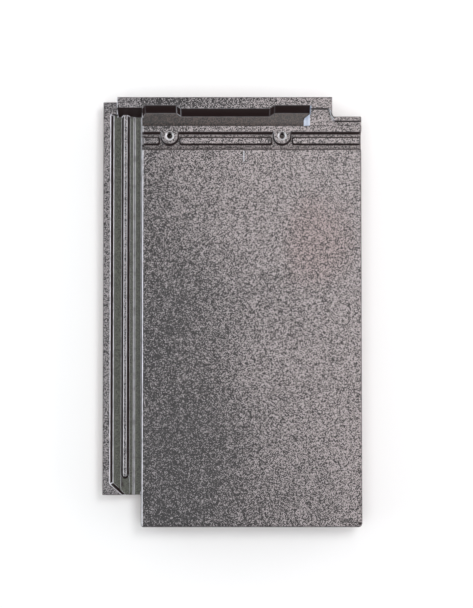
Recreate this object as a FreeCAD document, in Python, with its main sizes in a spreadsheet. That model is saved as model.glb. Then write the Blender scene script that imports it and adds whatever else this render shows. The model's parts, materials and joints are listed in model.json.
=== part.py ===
"""An interlocking clay roof tile with a flat weather face.

The tile lies as it would on a level floor: weather face up, head towards +Y,
underlapping side lock towards -X and overlapping cover lock towards +X.
The origin is the middle of its bounding box on the floor. Millimetres.
"""

import FreeCAD, Part
import math
import os
import re
import Sketcher

SIZES = {
    # the whole tile
    "width": 260.0,
    "tile_length": 430.0,
    "face_height": 31.5,
    "plate_thickness": 13.0,
    "rim_height": 3.0,
    # the side lock, from the outer edge inwards
    "lock_width": 40.0,
    "lock_floor": 17.5,
    "lock_thickness": 7.5,
    "outer_rib_width": 7.5,
    "outer_rib_rise": 5.0,
    "outer_rib_draft": 2.7,
    "channel_width": 8.0,
    "inner_rib_width": 3.0,
    "inner_rib_rise": 4.5,
    "inner_rib_draft": 2.8,
    "shelf_width": 3.6,
    "shelf_rise": 1.2,
    "shelf_draft": 1.8,
    "face_wall_draft": 1.7,
    "web_width": 8.0,
    "web_draft": 6.0,
    "lock_chamfer": 2.5,
    "roof_slant": 4.0,
    "flange_width": 14.5,
    "flange_length": 12.5,
    "gutter_end_width": 20.0,
    "gutter_end_length": 11.0,
    "lock_head_setback": 3.2,
    "lock_tail_setback": 31.0,
    "inner_rib_setback": 20.0,
    "side_gap": 1.5,
    "lock_clearance": 1.2,
    # the head lock, from the head edge towards the tail
    "rim_width": 11.7,
    "rim_draft": 6.8,
    "lock_rim_width": 10.7,
    "lock_rim_draft": 7.2,
    "head_channel_depth": 6.0,
    "head_channel_edge": 28.7,
    "head_channel_ramp": 6.5,
    "head_channel_inset": 57.5,
    "left_recess_end": 38.8,
    "right_recess_start": 92.0,
    "recess_depth": 3.4,
    "recess_slant": 4.8,
    "edge_inset": 2.5,
    "plateau_drop": 0.7,
    "groove_edge": 34.7,
    "groove_depth": 3.2,
    "groove_width": 6.2,
    "groove_rib_width": 5.6,
    "groove_draft": 2.2,
    "groove_rib_draft": 1.4,
    # the cut-out at the head's right corner
    "corner_width": 29.5,
    "corner_length": 19.6,
    "corner_radius": 2.5,
    "corner_band": 4.7,
    # the nail holes
    "hole_radius": 2.6,
    "hole_inset": 38.8,
    "left_hole": 67.3,
    "right_hole": 79.7,
    "boss_radius": 8.0,
    "boss_draft": 1.6,
    "rib_gap": 3.2,
    "sink_radius": 4.4,
    # the centre mark
    "mark_width": 3.2,
    "mark_length": 10.0,
    "mark_rise": 1.0,
    "mark_inset": 54.3,
    "mark_inset_right": 117.9,
    # the underside
    "beam_width": 32.0,
    "beam_drop": 3.0,
    "pad_width": 50.0,
    "nib_width": 36.0,
    "nib_length": 12.0,
    "nib_inset": 3.0,
    "nose_length": 8.0,
    "nose_height": 5.0,
    "nose_slant": 3.0,
    "lock_rib_length": 5.0,
    "lock_rib_gap": 4.0,
    "head_lap": 60.0,
    "stiffener_width": 8.0,
    "stiffener_drop": 4.5,
    "stiffener_inset": 44.0,
    "cross_inset": 55.0,
    "underside_taper": 20.0,
    # the rounded corners, as seen from above
    "tail_round": 4.0,
    "rim_turn_round": 4.0,
    "rib_end_round": 2.2,
    # how far a cut runs past the clay
    "cutter_overlap": 2.0,
}
STIFFENERS_ACROSS = 3
STIFFENERS_ALONG = 4
# How near a corner of a plan an edge has to start to be that corner's
FIT = 0.001
# Places that several features share, as formulas of the sizes
LEFT = "(-width / 2)"
RIGHT = "(width / 2)"
TAIL = "(-tile_length / 2)"
HEAD = "(tile_length / 2)"
FACE_LEFT = "(lock_width - width / 2)"
FACE_WALL_FOOT = f"({FACE_LEFT} - face_wall_draft)"
NEXT_TILE = "(width - lock_width + side_gap)"
PLATE_BOTTOM = "(face_height - plate_thickness)"
LOCK_BOTTOM = "(lock_floor - lock_thickness)"
RIM_TOP = "(face_height + rim_height)"
CHANNEL_FLOOR = "(face_height - head_channel_depth)"
CHANNEL_EDGE = f"({HEAD} - head_channel_edge)"
RIM_EDGE = f"({HEAD} - rim_width)"
RECESS_EDGE = f"({RIM_EDGE} + recess_depth)"
RAMP_TOP = f"({RIGHT} - head_channel_inset + head_channel_ramp)"
GROOVE_HEAD = f"({HEAD} - groove_edge)"
GROOVE_TAIL = f"({GROOVE_HEAD} - 2 * groove_width - groove_rib_width)"
HOLE_LINE = f"({HEAD} - hole_inset)"
HOLES = {"left": f"({LEFT} + left_hole)", "right": f"({RIGHT} - right_hole)"}
COVER_EDGE = f"({LEFT} + {NEXT_TILE} - lock_clearance)"
MARK_LEFT = f"({RIGHT} - mark_inset_right)"

doc = FreeCAD.newDocument("clay_roof_tile")
sizes = doc.addObject("Spreadsheet::Sheet", "sizes")
body = doc.addObject("PartDesign::Body", "roof_tile")
PLANES = {feature.Role: feature for feature in body.Origin.OriginFeatures}


def fill_sheet():
    """Writes every driving size in the sheet under its own name."""
    for row, (name, value) in enumerate(SIZES.items(), start=1):
        sizes.set(f"A{row}", name)
        sizes.set(f"B{row}", str(value))
        sizes.setAlias(f"B{row}", name)
    doc.recompute()


def from_sheet(formula):
    """Writes a formula of named sizes as an expression on the sheet."""
    names = "|".join(sorted(SIZES, key=len, reverse=True))
    return re.sub(rf"\b({names})\b", r"sizes.\1", formula)


def sketch(name, plane, place):
    """Makes a sketch on one of the body's planes, moved along its own axis."""
    drawing = body.newObject("Sketcher::SketchObject", name)
    drawing.AttachmentSupport = [(PLANES[plane], "")]
    drawing.MapMode = "FlatFace"
    away = f"-({place})" if plane == "XZ_Plane" else place
    drawing.setExpression("AttachmentOffset.Base.z", from_sheet(away))
    return drawing


def constrain(drawing, kind, formula, start, *ends):
    """Ties one dimension of a sketch, with the value it starts at, to a formula."""
    number = drawing.addConstraint(Sketcher.Constraint(kind, *ends, start))
    drawing.setExpression(f"Constraints[{number}]", from_sheet(formula))


def place_point(drawing, side, end, place):
    """Ties one end of a side to a place in the sketch."""
    start = drawing.getPoint(side, end)
    constrain(drawing, "DistanceX", place[0], start.x, -1, 1, side, end)
    constrain(drawing, "DistanceY", place[1], start.y, -1, 1, side, end)


def polygon(name, plane, place, corners):
    """Draws straight sides through corners, each a pair of formulas."""
    drawing = sketch(name, plane, place)
    count = len(corners)
    turns = [2 * math.pi * number / count for number in range(count)]
    starts = [FreeCAD.Vector(math.cos(turn), math.sin(turn), 0) for turn in turns]
    for number in range(count):
        side = Part.LineSegment(starts[number], starts[(number + 1) % count])
        drawing.addGeometry(side, False)
    for number in range(count):
        joined = Sketcher.Constraint("Coincident", number, 2, (number + 1) % count, 1)
        drawing.addConstraint(joined)
    for number, corner in enumerate(corners):
        place_point(drawing, number, 1, corner)
    return drawing


def rectangle(name, place, left, right, tail, head):
    """Draws a plan rectangle."""
    corners = [(left, tail), (right, tail), (right, head), (left, head)]
    return polygon(name, "XY_Plane", place, corners)


def circle(name, place, centre, radius):
    """Draws a plan circle."""
    drawing = sketch(name, "XY_Plane", place)
    drawing.addGeometry(Part.Circle(FreeCAD.Vector(), FreeCAD.Vector(0, 0, 1), 1), False)
    place_point(drawing, 0, 3, centre)
    constrain(drawing, "Radius", radius, 1.0, 0)
    return drawing


def tongue(name, place, centre, radius, root):
    """Draws a plan outline that is round at the tail and straight up to its root."""
    drawing = sketch(name, "XY_Plane", place)
    east, west = FreeCAD.Vector(1, 0, 0), FreeCAD.Vector(-1, 0, 0)
    north_east, north_west = FreeCAD.Vector(1, 1, 0), FreeCAD.Vector(-1, 1, 0)
    whole_turn = Part.Circle(FreeCAD.Vector(), FreeCAD.Vector(0, 0, 1), 1)
    drawing.addGeometry(Part.ArcOfCircle(whole_turn, math.pi, 2 * math.pi), False)
    drawing.addGeometry(Part.LineSegment(east, north_east), False)
    drawing.addGeometry(Part.LineSegment(north_east, north_west), False)
    drawing.addGeometry(Part.LineSegment(north_west, west), False)
    for number in range(4):
        joined = Sketcher.Constraint("Coincident", number, 2, (number + 1) % 4, 1)
        drawing.addConstraint(joined)
    left, right = f"{centre[0]} - {radius}", f"{centre[0]} + {radius}"
    corners = [(left, centre[1]), (right, centre[1]), (right, root), (left, root)]
    for number, corner in enumerate(corners):
        place_point(drawing, number, 1, corner)
    constrain(drawing, "DistanceY", centre[1], 0.0, -1, 1, 0, 3)
    return drawing


def grown(kind, name, profile, depth, draft=None):
    """Pads or pockets a sketch down, towards the tail or towards the side lock.

    A positive draft widens the shape on its way, and a negative one narrows it.
    """
    before = body.Shape.Volume if body.Tip else 0
    feature = body.newObject(f"PartDesign::{kind}", name)
    feature.Profile = profile
    feature.setExpression("Length", from_sheet(depth))
    on_cross_section = profile.AttachmentSupport[0][0].Role == "XZ_Plane"
    feature.Reversed = on_cross_section == (kind == "Pocket")
    if draft:
        feature.setExpression("TaperAngle", from_sheet(draft))
    doc.recompute()
    change = feature.Shape.Volume - before
    if change * (1 if kind == "Pad" else -1) <= 0:
        raise RuntimeError(f"{name} changes nothing: {change}")
    return feature


def pad(name, profile, depth, draft=None):
    return grown("Pad", name, profile, depth, draft)


def pocket(name, profile, depth, draft=None):
    return grown("Pocket", name, profile, depth, draft)


def rounded(name, radius, profile, *corners):
    """Rounds the edges that run down from some corners of a plan, counted as drawn."""
    doc.recompute()
    points = [profile.getPoint(corner, 1) for corner in corners]
    height = profile.Placement.Base.z
    tops = [FreeCAD.Vector(point.x, point.y, height) for point in points]
    names = []
    for number, edge in enumerate(body.Tip.Shape.Edges, start=1):
        ends = [vertex.Point for vertex in edge.Vertexes]
        goes_down = len(ends) == 2 and abs(ends[0].z - ends[1].z) > FIT
        meets_top = any(end.distanceToPoint(top) < FIT for end in ends for top in tops)
        if goes_down and meets_top:
            names.append(f"Edge{number}")
    if len(names) != len(corners):
        raise RuntimeError(f"{name} finds {len(names)} edges, not {len(corners)}")
    shape_before = body.Tip
    feature = body.newObject("PartDesign::Fillet", name)
    feature.Base = (shape_before, names)
    feature.setExpression("Radius", from_sheet(radius))
    doc.recompute()
    return feature


def along(start, *widths):
    """Adds widths one after another to a starting place."""
    places = [start]
    for width in widths:
        places.append(f"{places[-1]} + {width}")
    return places


def lock_top():
    """Gives the side lock's upper outline, from its outer edge to the weather face."""
    rib = "(lock_floor + outer_rib_rise)"
    inner_rib = "(lock_floor + inner_rib_rise)"
    shelf = "(lock_floor + shelf_rise)"
    places = along(
        LEFT, "outer_rib_width", "outer_rib_draft", "channel_width", "inner_rib_draft",
        "inner_rib_width", "inner_rib_draft", "shelf_width", "shelf_draft",
    )
    heights = [rib, rib, "lock_floor", "lock_floor", inner_rib, inner_rib, shelf, shelf, "lock_floor"]
    outline = list(zip(places, heights))
    return outline + [(FACE_WALL_FOOT, "lock_floor"), (FACE_LEFT, "face_height")]


def cover_underside(top):
    """Gives the cover lock's lower outline, which clears the next tile's side lock."""
    over = [f"({place}) + {NEXT_TILE}" for place, height in top]
    edge_rib = "(lock_floor + shelf_rise + lock_clearance)"
    inner_roof = "(lock_floor + inner_rib_rise + lock_clearance)"
    cover_rib = "(lock_floor + lock_clearance)"
    outer_roof = "(lock_floor + outer_rib_rise + lock_clearance)"
    return [
        (f"{RIGHT} - face_wall_draft", edge_rib),
        (f"{over[6]} + lock_clearance", edge_rib),
        (f"{over[5]} + lock_clearance", inner_roof),
        (f"{over[4]} - lock_clearance", inner_roof),
        (f"{over[3]} - lock_clearance", cover_rib),
        (f"{over[2]} + lock_clearance", cover_rib),
        (f"{over[1]} + lock_clearance", outer_roof),
        (COVER_EDGE, outer_roof),
        (f"{COVER_EDGE} - roof_slant", PLATE_BOTTOM),
    ]


def ribbon():
    """Presses the constant cross-section: side lock, flat plate and cover lock."""
    top = lock_top()
    web = [
        (f"{FACE_LEFT} + web_width", PLATE_BOTTOM),
        (f"{FACE_LEFT} + web_width - web_draft", LOCK_BOTTOM),
        (f"{LEFT} + lock_chamfer", LOCK_BOTTOM),
        (LEFT, f"{LOCK_BOTTOM} + lock_chamfer"),
    ]
    corners = top + [(RIGHT, "face_height")] + cover_underside(top) + web
    profile = polygon("cross_section", "XZ_Plane", HEAD, corners)
    return pad("pressed_ribbon", profile, "tile_length")


def cut_outline():
    """Rounds the face's right tail corner and cuts the head's two corners back."""
    beyond = "cutter_overlap"
    deep = f"face_height + {beyond}"
    profile = rectangle("face_plan", "face_height", FACE_LEFT, RIGHT, TAIL, HEAD)
    rounded("tail_corner", "tail_round", profile, 1)
    profile = rectangle(
        "head_cut_plan", "face_height", f"{LEFT} - {beyond}", f"{LEFT} + flange_width",
        f"{HEAD} - lock_head_setback", f"{HEAD} + {beyond}",
    )
    pocket("side_lock_head_cut", profile, deep)
    profile = rectangle(
        "corner_plan", "face_height", f"{RIGHT} - corner_width", f"{RIGHT} + {beyond}",
        f"{HEAD} - corner_length", f"{HEAD} + {beyond}",
    )
    pocket("corner_cut", profile, deep)


def head_channel():
    """Sinks the channel across the head, with a ramp at its closed end."""
    bottom_end = f"{RIGHT} - head_channel_inset"
    corners = [
        (f"{FACE_LEFT} - lock_chamfer", CHANNEL_FLOOR),
        (bottom_end, CHANNEL_FLOOR),
        (RAMP_TOP, "face_height"),
        (RAMP_TOP, "face_height + cutter_overlap"),
        (f"{FACE_LEFT} - lock_chamfer", "face_height + cutter_overlap"),
    ]
    profile = polygon("channel_section", "XZ_Plane", f"{HEAD} + cutter_overlap", corners)
    pocket("head_channel", profile, "head_channel_edge + cutter_overlap")
    profile = rectangle(
        "plateau_plan", "face_height", bottom_end, f"{RIGHT} + cutter_overlap",
        CHANNEL_EDGE, f"{HEAD} + cutter_overlap",
    )
    pocket("plateau", profile, "plateau_drop")


def head_rim():
    """Raises the rim along the head edge, over the side lock and round the cut corner."""
    corners = [
        (f"{LEFT} + outer_rib_width / 2", f"{HEAD} - lock_head_setback - flange_length"),
        (f"{LEFT} + flange_width", f"{HEAD} - lock_head_setback - flange_length"),
        (f"{LEFT} + flange_width", f"{HEAD} - lock_head_setback"),
        (f"{LEFT} + outer_rib_width / 2", f"{HEAD} - lock_head_setback"),
    ]
    profile = polygon("flange_plan", "XY_Plane", "lock_floor + outer_rib_rise", corners)
    pad("flange", profile, "outer_rib_rise + shelf_rise")

    foot = f"{HEAD} - lock_rim_width - lock_rim_draft"
    corners = [
        (HEAD, LOCK_BOTTOM), (HEAD, RIM_TOP), (f"{HEAD} - lock_rim_width", RIM_TOP),
        (foot, "lock_floor"), (foot, LOCK_BOTTOM),
    ]
    profile = polygon("lock_rim_section", "YZ_Plane", f"{FACE_LEFT} + web_width / 2", corners)
    pad("rim_over_lock", profile, "lock_width - flange_width + web_width / 2")

    foot = f"{RIM_EDGE} - rim_draft"
    low = f"{CHANNEL_FLOOR} - plateau_drop"
    corners = [(HEAD, low), (HEAD, RIM_TOP), (RIM_EDGE, RIM_TOP), (foot, CHANNEL_FLOOR), (foot, low)]
    profile = polygon("rim_section", "YZ_Plane", RAMP_TOP, corners)
    pad("rim_over_plate", profile, f"{RAMP_TOP} - {FACE_LEFT}")

    corner_left = f"{RIGHT} - corner_width"
    corner_tail = f"{HEAD} - corner_length"
    band = f"{corner_tail} - corner_band"
    corners = [
        (f"{RAMP_TOP} - edge_inset", HEAD), (f"{RAMP_TOP} - edge_inset", RECESS_EDGE),
        (RAMP_TOP, RIM_EDGE),
        (f"{corner_left} - corner_radius", RIM_EDGE), (f"{corner_left} + corner_radius / 2", band),
        (f"{RIGHT} - face_wall_draft / 2", band), (f"{RIGHT} - face_wall_draft / 2", corner_tail),
        (corner_left, corner_tail), (corner_left, HEAD),
    ]
    profile = polygon("corner_rim_plan", "XY_Plane", RIM_TOP, corners)
    pad("rim_round_corner", profile, "rim_height + plateau_drop + cutter_overlap")
    rounded("rim_turn", "rim_turn_round", profile, 3, 4)
    rounded("corner_cut_rounding", "corner_radius", profile, 7)


def rim_recess(name, left, left_slant, right, right_slant):
    """Sets the rim's inner edge back over one stretch, with the rim's own slope."""
    tail = f"{RIM_EDGE} - cutter_overlap"
    corners = [
        (left, RIM_EDGE), (f"{left} + {left_slant}", RECESS_EDGE),
        (f"{right} - {right_slant}", RECESS_EDGE), (right, RIM_EDGE), (right, tail), (left, tail),
    ]
    profile = polygon(f"{name}_plan", "XY_Plane", RIM_TOP, corners)
    depth = "(rim_height + head_channel_depth)"
    cut = pocket(name, profile, depth)
    cut.UseCustomVector = True
    cut.setExpression("Direction.y", from_sheet("-rim_draft"))
    cut.setExpression("Direction.z", from_sheet(f"-{depth}"))
    doc.recompute()


def head_grooves():
    """Presses the two drainage grooves, with the broken rib and the bosses in them."""
    floor = "(face_height - groove_depth)"
    corners = [
        (GROOVE_HEAD, "face_height + cutter_overlap"), (GROOVE_HEAD, "face_height"),
        (f"{GROOVE_HEAD} - groove_draft", floor), (f"{GROOVE_TAIL} + groove_draft / 4", floor),
        (GROOVE_TAIL, "face_height"), (GROOVE_TAIL, "face_height + cutter_overlap"),
    ]
    profile = polygon("groove_section", "YZ_Plane", f"{RIGHT} + cutter_overlap", corners)
    pocket("groove_recess", profile, "width + 2 * cutter_overlap")

    flare = "atan(groove_rib_draft / groove_depth)"
    rib_tail = f"{GROOVE_TAIL} + groove_width"
    inner = f"{FACE_LEFT} + groove_rib_draft"
    outer = f"{RIGHT} - groove_rib_draft - face_wall_draft / 2"
    gap = "(boss_radius + rib_gap)"
    spans = {
        "left": (inner, f"{HOLES['left']} - {gap}"),
        "middle": (f"{HOLES['left']} + {gap}", f"{HOLES['right']} - {gap}"),
        "right": (f"{HOLES['right']} + {gap}", outer),
    }
    round_ends = {"left": (1, 2), "middle": (0, 1, 2, 3), "right": (0, 3)}
    for name, (start, end) in spans.items():
        profile = rectangle(
            f"{name}_rib_plan", "face_height", start, end, rib_tail, f"{rib_tail} + groove_rib_width",
        )
        pad(f"{name}_groove_rib", profile, "groove_depth", flare)
        rounded(f"{name}_rib_rounding", "rib_end_round", profile, *round_ends[name])
    for name, place in HOLES.items():
        profile = tongue(
            f"{name}_boss_plan", "face_height", (place, HOLE_LINE), "boss_radius",
            f"{GROOVE_HEAD} + cutter_overlap",
        )
        pad(f"{name}_boss", profile, "groove_depth", "atan(boss_draft / groove_depth)")


def nail_holes():
    """Pierces a countersunk nail hole through each boss."""
    sink_depth = "(sink_radius - hole_radius)"
    for name, place in HOLES.items():
        profile = circle(f"{name}_hole_plan", "face_height", (place, HOLE_LINE), "hole_radius")
        pocket(f"{name}_nail_hole", profile, "face_height")
        profile = circle(f"{name}_sink_plan", "face_height", (place, HOLE_LINE), "sink_radius")
        pocket(f"{name}_countersink", profile, sink_depth, "-45")


def centre_mark():
    """Raises the small rib that marks where the tile above ends."""
    head = f"{HEAD} - mark_inset"
    profile = rectangle(
        "mark_plan", "face_height + mark_rise", MARK_LEFT, f"{MARK_LEFT} + mark_width",
        f"{head} - mark_length", head,
    )
    pad("centre_mark", profile, "mark_rise + plateau_drop", "30")


def gutter_room():
    """Cuts the cover lock's rib back at the tail, over the next tile's turned gutter end."""
    places = [f"({place}) + {NEXT_TILE}" for place, height in lock_top()]
    roof = "lock_floor + outer_rib_rise + lock_clearance"
    profile = rectangle(
        "gutter_room_plan", roof, COVER_EDGE, f"{places[5]} + lock_clearance",
        f"{TAIL} - cutter_overlap",
        f"{TAIL} + lock_tail_setback + gutter_end_length + outer_rib_draft + 2 * lock_clearance",
    )
    pocket("gutter_room", profile, roof)


def lock_ends():
    """Ends the side lock at the tail: a short inner rib, and the outer rib turned inwards."""
    places = [place for place, height in lock_top()]
    tail = f"({TAIL} + lock_tail_setback)"
    rib_end = f"{tail} + inner_rib_setback"
    profile = rectangle(
        "rib_end_plan", "lock_floor + inner_rib_rise", places[3], places[6], tail, rib_end,
    )
    pocket("inner_rib_end", profile, "inner_rib_rise - shelf_rise / 2")
    profile = tongue(
        "rib_tip_plan", "lock_floor + inner_rib_rise",
        (f"{places[4]} + inner_rib_width / 2", rib_end), "inner_rib_width / 2",
        f"{rib_end} + inner_rib_width",
    )
    pad("inner_rib_tip", profile, "inner_rib_rise", "atan(inner_rib_draft / inner_rib_rise)")
    corners = [
        (f"{LEFT} + outer_rib_width / 2", tail), (f"{LEFT} + gutter_end_width", tail),
        (f"{LEFT} + outer_rib_width", f"{tail} + gutter_end_length"),
        (f"{LEFT} + outer_rib_width / 2", f"{tail} + gutter_end_length"),
    ]
    profile = polygon("gutter_end_plan", "XY_Plane", "lock_floor + outer_rib_rise", corners)
    slant = "atan(outer_rib_draft / outer_rib_rise)"
    pad("gutter_end", profile, "outer_rib_rise + shelf_rise", slant)
    profile = rectangle(
        "tail_cut_plan", "face_height", f"{LEFT} - cutter_overlap", FACE_WALL_FOOT,
        f"{TAIL} - cutter_overlap", tail,
    )
    pocket("side_lock_tail_cut", profile, "face_height + cutter_overlap")


def underside():
    """Adds the head beam, nibs, tail nose, locking rib and stiffening ribs."""
    inside_cover = f"{COVER_EDGE} - roof_slant"
    inside_web = f"{FACE_LEFT} + web_width - web_draft"
    root = f"({PLATE_BOTTOM} + plateau_drop)"
    beam_tail = f"({HEAD} - beam_width)"
    profile = rectangle("beam_plan", root, inside_web, inside_cover, beam_tail, f"{HEAD} - nib_inset")
    pad("head_beam", profile, "beam_drop + plateau_drop", "-underside_taper")

    batten_face = f"({HEAD} - nib_inset - nib_length)"
    corners = [
        (f"{HEAD} - nib_inset", root), (batten_face, root), (batten_face, "0"),
        (f"{HEAD} - 2 * nib_inset", "0"),
    ]
    for name, place in HOLES.items():
        profile = rectangle(
            f"{name}_pad_plan", root, f"{place} - pad_width / 2", f"{place} + pad_width / 2",
            beam_tail, f"{HEAD} - nib_inset",
        )
        pad(f"{name}_bearing_pad", profile, f"{root} - {LOCK_BOTTOM}", "-underside_taper")
        profile = polygon(f"{name}_nib_section", "YZ_Plane", f"{place} + nib_width / 2", corners)
        pad(f"{name}_nib", profile, "nib_width")

    corners = [
        (TAIL, root), (TAIL, "nose_height"), (f"{TAIL} + nose_length", "nose_height"),
        (f"{TAIL} + nose_length + nose_slant", root),
    ]
    profile = polygon("nose_section", "YZ_Plane", f"{RIGHT} - face_wall_draft", corners)
    pad("tail_nose", profile, "width - lock_width - web_width / 2")
    profile = rectangle(
        "mark_room_plan", "nose_height + mark_rise + lock_clearance",
        f"{MARK_LEFT} - lock_clearance", f"{MARK_LEFT} + mark_width + lock_clearance",
        f"{TAIL} - cutter_overlap", f"{TAIL} + nose_length + nose_slant",
    )
    pocket("mark_room", profile, "nose_height + mark_rise + lock_clearance")

    lock_rib = f"({TAIL} + head_lap - (rim_width + rim_draft + head_channel_edge) / 2)"
    half = "lock_rib_length / 2"
    corners = [
        (f"{lock_rib} + {half} + nose_slant", root), (f"{lock_rib} + {half}", "0"),
        (f"{lock_rib} - {half}", "0"), (f"{lock_rib} - {half} - nose_slant", root),
    ]
    rib_end = f"{RIGHT} - head_channel_inset - lock_rib_gap"
    profile = polygon("lock_rib_section", "YZ_Plane", rib_end, corners)
    pad("head_lock_rib", profile, f"{rib_end} - {FACE_LEFT} - web_width / 2")

    stiffener_start = f"({FACE_LEFT} + stiffener_inset)"
    profile = rectangle(
        "stiffener_plan", root, stiffener_start, f"{stiffener_start} + stiffener_width",
        lock_rib, beam_tail + " + beam_drop",
    )
    first = pad("long_stiffener", profile, "stiffener_drop + plateau_drop", "-underside_taper")
    spread = f"{inside_cover} - {stiffener_start} - stiffener_width - stiffener_inset"
    repeated("long_stiffeners", first, "X_Axis", spread, STIFFENERS_ACROSS)

    cross_start = f"({lock_rib} + cross_inset)"
    profile = rectangle(
        "cross_plan", root, inside_web, inside_cover, cross_start, f"{cross_start} + stiffener_width",
    )
    first = pad("cross_stiffener", profile, "stiffener_drop + plateau_drop", "-underside_taper")
    spread = f"{beam_tail} - cross_inset - {cross_start}"
    repeated("cross_stiffeners", first, "Y_Axis", spread, STIFFENERS_ALONG)


def repeated(name, feature, axis, spread, count):
    """Repeats a feature evenly over a distance."""
    before = body.Shape.Volume
    pattern = body.newObject("PartDesign::LinearPattern", name)
    pattern.Originals = [feature]
    pattern.Direction = (PLANES[axis], [""])
    pattern.setExpression("Length", from_sheet(spread))
    pattern.Occurrences = count
    body.Tip = pattern
    doc.recompute()
    if body.Shape.Volume <= before:
        raise RuntimeError(f"{name} adds nothing")


def check_model():
    """Stops if any object of the document failed or the tile isn't one sound solid."""
    for thing in doc.Objects:
        if "Invalid" in thing.State or "Error" in thing.State:
            raise RuntimeError(f"{thing.Name} failed: {thing.State}")
    shape = body.Shape
    if shape.isNull() or not shape.isValid() or len(shape.Solids) != 1:
        raise RuntimeError("the tile isn't one valid solid")


fill_sheet()
ribbon()
cut_outline()
head_channel()
head_rim()
rim_recess("left_recess", FACE_LEFT, "edge_inset", f"{FACE_LEFT} + left_recess_end", "recess_slant")
rim_recess("right_recess", f"{RIGHT} - right_recess_start", "recess_slant", RAMP_TOP, "0")
head_grooves()
nail_holes()
centre_mark()
lock_ends()
gutter_room()
underside()
check_model()
body.Label = "roof_tile"
body.Placement = FreeCAD.Placement()
os.makedirs("parts", exist_ok=True)
body.Shape.exportStep("parts/roof_tile.step")
box = body.Shape.BoundBox
print(f"volume {body.Shape.Volume:.0f} mm3, box {box}")
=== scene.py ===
"""The looks of an interlocking clay roof tile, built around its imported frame."""

import json
import math
from types import SimpleNamespace

import bmesh
import bpy
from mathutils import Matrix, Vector

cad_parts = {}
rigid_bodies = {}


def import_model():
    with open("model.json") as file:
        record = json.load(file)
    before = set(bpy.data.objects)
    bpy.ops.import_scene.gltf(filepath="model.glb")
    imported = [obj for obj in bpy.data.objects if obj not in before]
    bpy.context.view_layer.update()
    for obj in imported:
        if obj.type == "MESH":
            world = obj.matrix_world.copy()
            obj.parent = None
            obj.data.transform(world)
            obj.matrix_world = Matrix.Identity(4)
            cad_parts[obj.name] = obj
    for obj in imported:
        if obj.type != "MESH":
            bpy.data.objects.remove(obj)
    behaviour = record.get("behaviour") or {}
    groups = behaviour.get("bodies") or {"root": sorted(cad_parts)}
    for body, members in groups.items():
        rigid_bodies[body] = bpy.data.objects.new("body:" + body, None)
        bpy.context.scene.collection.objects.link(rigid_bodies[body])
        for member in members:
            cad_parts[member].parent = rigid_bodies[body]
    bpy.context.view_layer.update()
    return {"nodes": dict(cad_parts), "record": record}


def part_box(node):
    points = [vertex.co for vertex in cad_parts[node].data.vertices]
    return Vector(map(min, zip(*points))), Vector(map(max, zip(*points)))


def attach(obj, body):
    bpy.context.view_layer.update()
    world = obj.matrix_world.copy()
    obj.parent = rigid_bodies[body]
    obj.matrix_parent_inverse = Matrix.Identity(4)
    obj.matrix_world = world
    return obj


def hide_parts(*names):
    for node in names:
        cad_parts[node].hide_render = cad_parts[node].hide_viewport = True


for leftover in list(bpy.data.objects):
    bpy.data.objects.remove(leftover)

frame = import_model()

TILE = "roof_tile"
LOW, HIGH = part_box(TILE)
MILLIMETRE = 0.001

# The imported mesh: what counts as one point, and as one flat face
SAME_POINT = 0.002 * MILLIMETRE
SAME_PLANE = math.radians(0.3)

# The arrises: how far they are rounded, which edges are sharp, and where a chain of them ends
ARRIS_WIDTH = 0.9 * MILLIMETRE
FACE_ARRIS_WIDTH = 1.6 * MILLIMETRE
ARRIS_SEGMENTS = 3
SHARP = math.radians(24)
LONGEST_TURN = math.sin(math.radians(38))
ROOM_SHARE = 0.42
OUTLINE_REACH = 0.1 * MILLIMETRE
FACE_REACH = 0.05 * MILLIMETRE
GRID_STEP = 6 * MILLIMETRE
GRID_REACH = 1e-7

# The weather side's levels above the floor
FACE_LEVEL = 31.5 * MILLIMETRE
GROOVE_LEVEL = 28.3 * MILLIMETRE
RIB_LEVEL = 22 * MILLIMETRE
SHELF_LEVEL = 18.7 * MILLIMETRE

# Its features in plan: the face's left edge, the rim, the drainage grooves, and the ramp at the
# head channel's closed end
FACE_LEFT = -90 * MILLIMETRE
RIM_WIDTH = 12 * MILLIMETRE
GROOVES_MIDDLE = HIGH.y - 43.7 * MILLIMETRE
GROOVES_REACH = 8 * MILLIMETRE
RAMP_FOOT = HIGH.x - 57.5 * MILLIMETRE
RAMP_TOP = HIGH.x - 51 * MILLIMETRE
HOLES = [
    mount["pos_m"][:2] for mount in frame["record"]["mounts"] if mount["name"].startswith("nail_hole")
]

# The engobe's noises, in cells to the metre
GRAINS = 1350
DUST = 1700
CLUMPS = 240
DRIFTS = 9
UNEVEN_ARRISES = 120
KILN_MOTTLE = 45

# What each noise adds to a grain's shade, and the painted sheen that brightens the face and adds
# grains towards the right and the head, with a random tone from noise and the rim set darker
GRAIN_SHARE = 0.62
DUST_SHARE = 0.38
CLUMP_SHARE = 0.36
DRIFT_SHARE = 0.16
HEADWARD_SHEEN = 0.35
RIM_DARKENING = -0.08
DRIFT_START = -0.08
DRIFT_END = 0.20
LOW_SHEEN_GRAIN_SHIFT = -0.19
HIGH_SHEEN_GRAIN_SHIFT = 0.01
GRAIN_EDGE = (0.43, 0.57)

# Colours in linear red, green and blue: of a pair, the body between the grains and the grains
# The face out of and in the painted sheen, which runs from the left and the tail to the right and the
# head
FACE_OUT_OF_SHEEN = (0.009, 0.008, 0.010), (0.280, 0.260, 0.270)
FACE_IN_SHEEN = (0.012, 0.008, 0.008), (0.400, 0.352, 0.354)
# Gutter floors: their darkness partly painted shade of the recesses
LOCK_GUTTER = (0.028, 0.030, 0.022), (0.084, 0.089, 0.070)
HEAD_CHANNEL = (0.004, 0.002, 0.002), (0.070, 0.046, 0.040)
BARE_CLAY = (0.20, 0.075, 0.045), (0.34, 0.15, 0.09)
# The steep walls' near-black, partly painted shade
WALL = (0.018, 0.009, 0.009)
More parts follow.
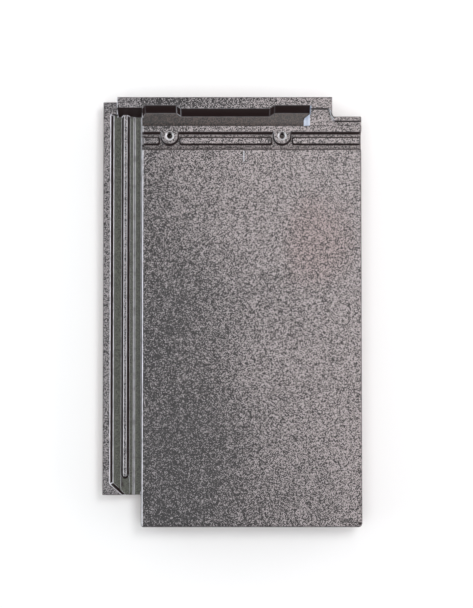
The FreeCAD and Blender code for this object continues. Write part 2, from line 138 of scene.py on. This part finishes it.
# Painted highlight on the long arrises
ARRIS_HIGHLIGHT_COLOUR = (0.80, 0.80, 0.86)
# Painted highlight on the countersinks
RING_HIGHLIGHT_COLOUR = (0.72, 0.72, 0.74)
# Painted reflection of the left light on the ramp
RAMP_REFLECTION_COLOUR = (0.42, 0.48, 0.62)
FLASH_TINT = (0.93, 0.79, 0.77)
SMUDGE_COLOUR = (0.012, 0.010, 0.012)

# Marks on the face: the middle, the reach, the cells of the frayed edge and the strength, and for
# every mark how much its edge frays and where it is full and where it ends, as shares of its reach
FLASH = SimpleNamespace(centre=(0.086, 0.070), reach=(0.046, 0.075), frayed=24, strength=0.60)
SMUDGE = SimpleNamespace(centre=(0.114, -0.2085), reach=(0.0085, 0.0035), frayed=300, strength=0.75)
# The reach and frayed edge of the countersinks' painted highlights
RING_REACH = 8.5 * MILLIMETRE
RING_FRAYED = 60
FRAYING = 0.8
SPOT_FULL = 0.65
SPOT_END = 1.35

# The engobe's surface
# How much of the gutters' darker colour, partly painted shade, the grooves get
GROOVE_DARKNESS = 0.35
GUTTER_GLOSS = 0.03
GLOSSY_ROUGHNESS = 0.36
DULL_ROUGHNESS = 0.48
CLAY_ROUGHNESS = 0.85
RELIEF_STRENGTH = 0.5
RELIEF_DEPTH = 0.10 * MILLIMETRE
ENGOBE_SPECULAR = 0.4
MELT_ROUGHNESS = 0.22
MELT_IOR = 2.0

# The floor, the room and the lights
FLOOR_HALF = 4.0
FLOOR_WHITE = 0.96
ROOM_DIM = 0.06
ROOM_BRIGHT = 0.34
STRIP_SIZE = (2.0, 0.45)
STRIP_AWAY = 1.35
STRIP_HEIGHT = 0.5

# The view
CAMERA_HEIGHT = 1.45
CAMERA_SHIFT = 0.05
VIEW_CENTRE = Vector((0.0045, 0.0073, FACE_LEVEL))
VIEW_TALL = 0.608
SENSOR_TALL = 24


# Small helpers for node trees

def put(tree, kind, inputs=None, **settings):
    """Adds a node, with its settings and with a value or a link for each input."""
    node = tree.nodes.new(kind)
    for name, value in settings.items():
        setattr(node, name, value)
    for name, value in (inputs or {}).items():
        feed(tree, node.inputs[name], value)
    return node


def feed(tree, socket, value):
    """Links a socket to another one, or sets it."""
    if isinstance(value, bpy.types.NodeSocket):
        tree.links.new(value, socket)
    else:
        socket.default_value = value


def calculate(tree, operation, first, second=None, third=None):
    """Adds a Math node and gives its result."""
    inputs = {0: first}
    if second is not None:
        inputs[1] = second
    if third is not None:
        inputs[2] = third
    return put(tree, "ShaderNodeMath", inputs, operation=operation).outputs[0]


def multiply(tree, first, *others):
    """Multiplies two or more values."""
    for other in others:
        first = calculate(tree, "MULTIPLY", first, other)
    return first


def fade(tree, value, start, end, low=0.0, high=1.0):
    """Turns a value smoothly from low to high between start and end."""
    node = put(tree, "ShaderNodeMapRange", {0: value, 1: start, 2: end, 3: low, 4: high},
               interpolation_type="SMOOTHSTEP")
    return node.outputs[0]


def blend(tree, share, first, second):
    """Mixes two numbers and gives the result."""
    return put(tree, "ShaderNodeMix", {"Factor": share, 2: first, 3: second}).outputs[0]


def blend_colours(tree, share, first, second, how="MIX"):
    """Mixes two colours and gives the result."""
    node = put(tree, "ShaderNodeMix", {"Factor": share}, data_type="RGBA", blend_type=how)
    for socket, colour in ((node.inputs[6], first), (node.inputs[7], second)):
        feed(tree, socket, (*colour, 1) if isinstance(colour, tuple) else colour)
    return node.outputs[2]


def noise(tree, place, scale, detail):
    """Adds a noise texture and gives its value."""
    node = put(tree, "ShaderNodeTexNoise", {"Vector": place, "Scale": scale, "Detail": detail})
    return node.outputs["Fac"]


def spot(tree, place, centre, reach, frayed):
    """Gives 1 in an oval patch of the weather side, fading raggedly to 0 at its reach."""
    away = put(tree, "ShaderNodeVectorMath", {0: place, 1: (*centre, 0)}, operation="SUBTRACT")
    scaled = put(tree, "ShaderNodeVectorMath", {
        0: away.outputs[0], 1: (1 / reach[0], 1 / reach[1], 0),
    }, operation="MULTIPLY")
    distance = put(tree, "ShaderNodeVectorMath", {0: scaled.outputs[0]}, operation="LENGTH")
    ragged = calculate(tree, "MULTIPLY_ADD", noise(tree, place, frayed, 3.0), FRAYING,
                       distance.outputs["Value"])
    return fade(tree, ragged, SPOT_END, SPOT_FULL)


# The tile's mesh

def merged_copy(node_name, piece_name):
    """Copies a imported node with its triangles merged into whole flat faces."""
    shape = bmesh.new()
    shape.from_mesh(frame["nodes"][node_name].data)
    bmesh.ops.remove_doubles(shape, verts=shape.verts, dist=SAME_POINT)
    bmesh.ops.dissolve_limit(
        shape, angle_limit=SAME_PLANE, verts=shape.verts, edges=shape.edges,
    )
    mesh = bpy.data.meshes.new(piece_name)
    shape.to_mesh(mesh)
    shape.free()
    piece = bpy.data.objects.new(piece_name, mesh)
    bpy.context.scene.collection.objects.link(piece)
    return piece


def turning(edge, beside, vertex):
    """Gives the sine of the turn between two edges that meet, or 1 if they turn back."""
    way = (vertex.co - edge.other_vert(vertex).co).normalized()
    on = (beside.other_vert(vertex).co - vertex.co).normalized()
    return way.cross(on).length if way.dot(on) > 0 else 1.0


def room_for_rounding(edge):
    """Gives the widest rounding that an edge has room for before its neighbours."""
    room = FACE_ARRIS_WIDTH
    way = (edge.verts[1].co - edge.verts[0].co).normalized()
    for vertex in edge.verts:
        for beside in vertex.link_edges:
            if beside != edge and turning(edge, beside, vertex) > LONGEST_TURN:
                along = beside.other_vert(vertex).co - vertex.co
                room = min(room, along.cross(way).length * ROOM_SHARE)
    return room


def wanted_rounding(edge):
    """Gives the rounding that the real edge has."""
    middle = (edge.verts[0].co + edge.verts[1].co) / 2
    on_outline = (
        middle.x > HIGH.x - OUTLINE_REACH
        or middle.y < LOW.y + OUTLINE_REACH
        or abs(middle.x - FACE_LEFT) < OUTLINE_REACH
    )
    on_face = abs(middle.z - FACE_LEVEL) < FACE_REACH
    return FACE_ARRIS_WIDTH if on_face and on_outline else ARRIS_WIDTH


def chains(edges):
    """Groups sharp edges that run on into each other, round curves too."""
    left = set(edges)
    groups = []
    for first in edges:
        if first not in left:
            continue
        left.discard(first)
        group, waiting = [], [first]
        while waiting:
            edge = waiting.pop()
            group.append(edge)
            for vertex in edge.verts:
                for beside in vertex.link_edges:
                    if beside in left and turning(edge, beside, vertex) <= LONGEST_TURN:
                        left.discard(beside)
                        waiting.append(beside)
        groups.append(group)
    return groups


def mark_arrises(piece):
    """Gives every sharp edge the width that it is rounded by, one width to a chain."""
    shape = bmesh.new()
    shape.from_mesh(piece.data)
    width = shape.edges.layers.float.new("bevel_weight_edge")
    sharp = [edge for edge in shape.edges if edge.calc_face_angle(0) > SHARP]
    for chain in chains(sharp):
        room = min(room_for_rounding(edge) for edge in chain)
        wanted = max(wanted_rounding(edge) for edge in chain)
        for edge in chain:
            edge[width] = min(wanted, room) / FACE_ARRIS_WIDTH
    shape.to_mesh(piece.data)
    shape.free()


def rounded_arrises(piece):
    """Rounds the marked edges, as pressing and the engobe leave them, and marks the rounding."""
    for name in ("flat", "arris"):
        piece.data.materials.append(bpy.data.materials.new(name))
    bevel = piece.modifiers.new("arrises", "BEVEL")
    bevel.limit_method = "WEIGHT"
    bevel.width = FACE_ARRIS_WIDTH
    bevel.segments = ARRIS_SEGMENTS
    bevel.use_clamp_overlap = False
    bevel.material = 1
    baked(piece)
    mesh = piece.data
    on_flat = set()
    for face in mesh.polygons:
        if face.material_index == 0:
            on_flat.update(face.vertices)
        face.material_index = 0
    arris = mesh.attributes.new("arris", "FLOAT", "POINT")
    for vertex in mesh.vertices:
        arris.data[vertex.index].value = 0.0 if vertex.index in on_flat else 1.0
        vertex.co = [min(max(vertex.co[axis], LOW[axis]), HIGH[axis]) for axis in range(3)]


def baked(piece):
    """Makes a piece's modifiers part of its mesh."""
    graph = bpy.context.evaluated_depsgraph_get()
    mesh = bpy.data.meshes.new_from_object(piece.evaluated_get(graph))
    piece.modifiers.clear()
    piece.data = mesh


def cut_in_grid(piece, step):
    """Cuts a piece's large faces along evenly spaced planes, so that they shade evenly."""
    shape = bmesh.new()
    shape.from_mesh(piece.data)
    for axis in (0, 1):
        count = round((HIGH[axis] - LOW[axis]) / step)
        for number in range(1, count):
            point = Vector((0, 0, 0))
            point[axis] = LOW[axis] + (HIGH[axis] - LOW[axis]) * number / count
            normal = Vector((0, 0, 0))
            normal[axis] = 1
            everything = shape.verts[:] + shape.edges[:] + shape.faces[:]
            bmesh.ops.bisect_plane(
                shape, geom=everything, plane_co=point, plane_no=normal, dist=GRID_REACH,
            )
    bmesh.ops.triangulate(shape, faces=[face for face in shape.faces if len(face.verts) > 4])
    shape.to_mesh(piece.data)
    shape.free()


def build_tile():
    """Makes the tile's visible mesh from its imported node."""
    tile = merged_copy(TILE, "fired_tile")
    mark_arrises(tile)
    rounded_arrises(tile)
    cut_in_grid(tile, GRID_STEP)
    for face in tile.data.polygons:
        face.use_smooth = True
    tile.data.materials.clear()
    return tile


# The engobe and the clay

def readings(tree):
    """What the finish reads: where a point is, which way it faces, and if it is on an arris."""
    at = SimpleNamespace()
    at.place = put(tree, "ShaderNodeTexCoord").outputs["Object"]
    at.x, at.y, at.z = put(tree, "ShaderNodeSeparateXYZ", {0: at.place}).outputs
    normal = put(tree, "ShaderNodeNewGeometry").outputs["Normal"]
    at.side, at.north, at.up = put(tree, "ShaderNodeSeparateXYZ", {0: normal}).outputs
    at.arris = put(tree, "ShaderNodeAttribute", attribute_name="arris").outputs["Fac"]
    at.on_plate = fade(tree, at.x, FACE_LEFT - 2 * MILLIMETRE, FACE_LEFT - MILLIMETRE)
    at.level = fade(tree, at.up, 0.86, 0.985)
    at.underneath = fade(tree, at.up, -0.25, -0.55)
    return at


def grain_shades(tree, place):
    """Sprayed grains, each its own shade, over a finer dust and in loose clumps."""
    cells = put(tree, "ShaderNodeTexVoronoi", {"Vector": place, "Scale": GRAINS})
    grain = put(tree, "ShaderNodeSeparateColor", {0: cells.outputs["Color"]}).outputs[0]
    dust = multiply(tree, noise(tree, place, DUST, 1.0), DUST_SHARE)
    shade = calculate(tree, "MULTIPLY_ADD", grain, GRAIN_SHARE, dust)
    shade = calculate(tree, "SUBTRACT", shade, CLUMP_SHARE / 2)
    return calculate(tree, "MULTIPLY_ADD", noise(tree, place, CLUMPS, 2.0), CLUMP_SHARE, shade)


def painted_sheen_and_tone(tree, at):
    """Painted sheen: brighter, warmer and with more grains towards the right and the head, darker on
    the rim, with a random tone from noise on top.
    """
    # A random tone from noise, plus painted sheen rising towards the right and the head
    drift = calculate(tree, "MULTIPLY_ADD", noise(tree, at.place, DRIFTS, 3.0), DRIFT_SHARE, at.x)
    drift = calculate(tree, "MULTIPLY_ADD", at.y, HEADWARD_SHEEN, drift)
    on_rim = fade(tree, at.y, HIGH.y - RIM_WIDTH - 2 * MILLIMETRE, HIGH.y - RIM_WIDTH)
    drift = calculate(tree, "MULTIPLY_ADD", on_rim, RIM_DARKENING, drift)
    return fade(tree, drift, DRIFT_START, DRIFT_END)


def grain_cover(tree, at, shade, sheen_and_tone):
    """Gives 1 on a grain and 0 between the grains, with fewer grains where the painted sheen and the
    random tone are low.
    """
    grain_shift = fade(tree, sheen_and_tone, 0.0, 1.0, LOW_SHEEN_GRAIN_SHIFT, HIGH_SHEEN_GRAIN_SHIFT)
    grain_shift = blend(tree, at.on_plate, 0.0, grain_shift)
    return fade(tree, calculate(tree, "ADD", shade, grain_shift), *GRAIN_EDGE)


def face_colours(tree, at, grains, sheen_and_tone):
    """The face, with a faint flash mark from the kiln and a dark smudge at the tail."""
    out_of_sheen = blend_colours(tree, grains, *FACE_OUT_OF_SHEEN)
    in_sheen = blend_colours(tree, grains, *FACE_IN_SHEEN)
    # Painted sheen with a random tone: dimmer towards the left and the tail, brighter towards the
    # right and the head
    colour = blend_colours(tree, sheen_and_tone, out_of_sheen, in_sheen)
    flash = spot(tree, at.place, FLASH.centre, FLASH.reach, FLASH.frayed)
    flash = multiply(tree, flash, FLASH.strength)
    colour = blend_colours(tree, flash, colour, FLASH_TINT, how="MULTIPLY")
    smudge = spot(tree, at.place, SMUDGE.centre, SMUDGE.reach, SMUDGE.frayed)
    return blend_colours(tree, multiply(tree, smudge, SMUDGE.strength), colour, SMUDGE_COLOUR)


def sunk_floors(tree, at):
    """Gives 1 on the floors of the gutters, coloured dark and smooth: partly painted shade of the
    recesses, partly engobe run together smooth.
    """
    lock_floor = fade(tree, at.z, RIB_LEVEL - 2 * MILLIMETRE, SHELF_LEVEL + 0.5 * MILLIMETRE)
    in_groove = fade(tree, at.z, GROOVE_LEVEL + 2 * MILLIMETRE, GROOVE_LEVEL + MILLIMETRE,
                     0.0, GROOVE_DARKNESS)
    in_channel = fade(tree, at.z, GROOVE_LEVEL - MILLIMETRE, GROOVE_LEVEL - 2 * MILLIMETRE,
                      0.0, 1 - GROOVE_DARKNESS)
    return blend(tree, at.on_plate, lock_floor, calculate(tree, "ADD", in_groove, in_channel))


def with_sunk_floors(tree, at, grains, sunk, face):
    """Puts the gutters' colours round the face's colours, and the dark walls on every steep face;
    both are darkened partly as painted shade.
    """
    lock = blend_colours(tree, grains, *LOCK_GUTTER)
    head = blend_colours(tree, grains, *HEAD_CHANNEL)
    floors = blend_colours(tree, at.on_plate, lock, head)
    flat = blend_colours(tree, sunk, face, floors)
    # Every steep face gets the near-black wall colour, partly painted shade
    return blend_colours(tree, at.level, WALL, flat)


def with_painted_arris_highlights(tree, at, colour):
    """Paints highlights on the long arrises that face left or right, less so beside the grooves."""
    both_sides = calculate(tree, "ABSOLUTE", at.side)
    to_lock = multiply(tree, at.side, -1.0)
    facing = blend(tree, at.on_plate, both_sides, to_lock)
    highlighted = multiply(tree, fade(tree, at.arris, 0.15, 0.75), fade(tree, at.up, 0.30, 0.62))
    highlighted = multiply(tree, highlighted, fade(tree, facing, 0.22, 0.42, 0.08, 1.0))
    inside = fade(tree, calculate(tree, "ABSOLUTE", at.x),
                  HIGH.x - MILLIMETRE, HIGH.x - 3 * MILLIMETRE)
    from_grooves = calculate(tree, "SUBTRACT", at.y, GROOVES_MIDDLE)
    from_grooves = calculate(tree, "ABSOLUTE", from_grooves)
    clear = fade(tree, from_grooves, GROOVES_REACH, GROOVES_REACH + 2 * MILLIMETRE, 0.25, 1.0)
    clear = blend(tree, at.on_plate, 1.0, clear)
    uneven = fade(tree, noise(tree, at.place, UNEVEN_ARRISES, 2.0), 0.25, 0.60, 0.55, 1.0)
    # Painted highlights, uneven along each arris
    return blend_colours(tree, multiply(tree, highlighted, inside, clear, uneven), colour, ARRIS_HIGHLIGHT_COLOUR)


def with_painted_slope_highlights(tree, at, colour):
    """Paints highlights on the countersinks, but not their shaded head side, and a painted reflection
    on the head channel's ramp.
    """
    slanted = multiply(tree, fade(tree, at.up, 0.20, 0.45), fade(tree, at.up, 0.99, 0.93))
    lit = multiply(tree, slanted, fade(tree, at.north, -0.75, -0.35))
    for hole in HOLES:
        ring = spot(tree, at.place, hole, (RING_REACH, RING_REACH), RING_FRAYED)
        colour = blend_colours(tree, multiply(tree, ring, lit), colour, RING_HIGHLIGHT_COLOUR)
    # Painted reflection of the left light on the head channel's ramp
    on_ramp = multiply(tree, fade(tree, at.x, RAMP_FOOT - MILLIMETRE, RAMP_FOOT),
                       fade(tree, at.x, RAMP_TOP + 2 * MILLIMETRE, RAMP_TOP + MILLIMETRE),
                       fade(tree, at.side, -0.25, -0.45), slanted)
    return blend_colours(tree, on_ramp, colour, RAMP_REFLECTION_COLOUR)


def with_bare_clay(tree, at, colour):
    """Leaves the underneath as bare clay, with the kiln's mottle."""
    bare = blend_colours(tree, noise(tree, at.place, KILN_MOTTLE, 4.0), *BARE_CLAY)
    return blend_colours(tree, at.underneath, colour, bare)


def melted_gloss(tree, at, sunk):
    """The engobe melts to a gloss on arrises and walls, hardly in the gutters."""
    melted = calculate(tree, "MAXIMUM", calculate(tree, "SUBTRACT", 1.0, at.level),
                       multiply(tree, sunk, GUTTER_GLOSS))
    return multiply(tree, melted, fade(tree, at.up, 0.58, 0.74, 0.12, 1.0))


def engobe_and_clay():
    """The weather side's speckled engobe over dark clay, bare clay underneath."""
    material = bpy.data.materials.new("speckled_engobe")
    material.use_nodes = True
    tree = material.node_tree
    tree.nodes.clear()
    at = readings(tree)

    shade = grain_shades(tree, at.place)
    sheen_and_tone = painted_sheen_and_tone(tree, at)
    grains = grain_cover(tree, at, shade, sheen_and_tone)
    sunk = sunk_floors(tree, at)
    colour = face_colours(tree, at, grains, sheen_and_tone)
    colour = with_sunk_floors(tree, at, grains, sunk, colour)
    colour = with_painted_arris_highlights(tree, at, colour)
    colour = with_painted_slope_highlights(tree, at, colour)
    colour = with_bare_clay(tree, at, colour)

    roughness = fade(tree, grains, 0.0, 1.0, GLOSSY_ROUGHNESS, DULL_ROUGHNESS)
    roughness = calculate(tree, "MAXIMUM", roughness, multiply(tree, at.underneath, CLAY_ROUGHNESS))
    height = multiply(tree, shade, calculate(tree, "MULTIPLY_ADD", at.level, 0.8, 0.2))
    relief = put(tree, "ShaderNodeBump", {
        "Strength": RELIEF_STRENGTH, "Distance": RELIEF_DEPTH, "Height": height,
    }).outputs["Normal"]
    clay = put(tree, "ShaderNodeBsdfPrincipled", {
        "Base Color": colour, "Roughness": roughness, "Normal": relief,
        "Specular IOR Level": ENGOBE_SPECULAR, "Coat Weight": melted_gloss(tree, at, sunk),
        "Coat Roughness": MELT_ROUGHNESS, "Coat IOR": MELT_IOR,
    })
    put(tree, "ShaderNodeOutputMaterial", {"Surface": clay.outputs[0]})
    return material


# The floor, light and camera

def pale_floor():
    """A white sheet that keeps the tile's soft shadow."""
    mesh = bpy.data.meshes.new("floor")
    half = FLOOR_HALF
    corners = [(-half, -half, 0), (half, -half, 0), (half, half, 0), (-half, half, 0)]
    mesh.from_pydata(corners, [], [(0, 1, 2, 3)])
    floor = bpy.data.objects.new("floor", mesh)
    bpy.context.scene.collection.objects.link(floor)
    material = bpy.data.materials.new("white_sheet")
    material.use_nodes = True
    sheet = material.node_tree.nodes["Principled BSDF"]
    sheet.inputs["Base Color"].default_value = (FLOOR_WHITE, FLOOR_WHITE, FLOOR_WHITE, 1)
    sheet.inputs["Roughness"].default_value = 0.9
    sheet.inputs["Specular IOR Level"].default_value = 0.0
    mesh.materials.append(material)


def pale_room():
    """A pale room around the table, darker on the side that the camera's stand is on."""
    world = bpy.data.worlds.new("pale_room")
    world.use_nodes = True
    tree = world.node_tree
    background = tree.nodes["Background"]
    way = put(tree, "ShaderNodeTexCoord").outputs["Generated"]
    towards_head = put(tree, "ShaderNodeSeparateXYZ", {0: way}).outputs["Y"]
    level = fade(tree, towards_head, -0.75, -0.15, ROOM_DIM, ROOM_BRIGHT)
    seen = put(tree, "ShaderNodeLightPath").outputs["Is Camera Ray"]
    tree.links.new(calculate(tree, "MAXIMUM", level, seen), background.inputs["Strength"])
    background.inputs["Color"].default_value = (1, 1, 1, 1)
    bpy.context.scene.world = world


def soft_light(name, place, size, watts, colour=(1, 1, 1)):
    """A soft box turned to the middle of the floor, which the camera doesn't see."""
    data = bpy.data.lights.new(name, "AREA")
    data.shape = "RECTANGLE"
    data.size, data.size_y = size
    data.energy = watts
    data.color = colour
    light = bpy.data.objects.new(name, data)
    light.location = place
    light.rotation_euler = (-Vector(place)).to_track_quat("-Z", "Y").to_euler()
    light.visible_camera = False
    bpy.context.scene.collection.objects.link(light)


def studio():
    """Soft boxes at the left, the right and the head, and two high ones."""
    soft_light("left_strip", (-STRIP_AWAY, 0.1, STRIP_HEIGHT), STRIP_SIZE, 9, (0.90, 0.95, 1.0))
    soft_light("right_strip", (STRIP_AWAY, 0.1, STRIP_HEIGHT), STRIP_SIZE, 9, (1.0, 0.96, 1.0))
    soft_light("head_strip", (0.0, 1.5, 0.7), STRIP_SIZE, 3)
    soft_light("window", (0.50, 0.50, 1.7), (0.55, 0.55), 8)
    soft_light("ceiling", (0.0, -0.4, 3.0), (2.8, 2.8), 46)


def camera_above():
    """A camera over the tile, looking almost straight down."""
    data = bpy.data.cameras.new("camera")
    data.sensor_fit = "VERTICAL"
    data.sensor_height = SENSOR_TALL
    place = VIEW_CENTRE + Vector((0, -CAMERA_SHIFT, CAMERA_HEIGHT))
    distance = (place - VIEW_CENTRE).length
    data.lens = SENSOR_TALL * distance / VIEW_TALL
    camera = bpy.data.objects.new("camera", data)
    camera.location = place
    camera.rotation_euler = (math.atan2(CAMERA_SHIFT, CAMERA_HEIGHT), 0, 0)
    bpy.context.scene.collection.objects.link(camera)
    bpy.context.scene.camera = camera


tile = build_tile()
tile.data.materials.append(engobe_and_clay())
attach(tile, "root")
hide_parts(TILE)
pale_floor()
pale_room()
studio()
camera_above()
bpy.context.scene.view_settings.view_transform = "Standard"
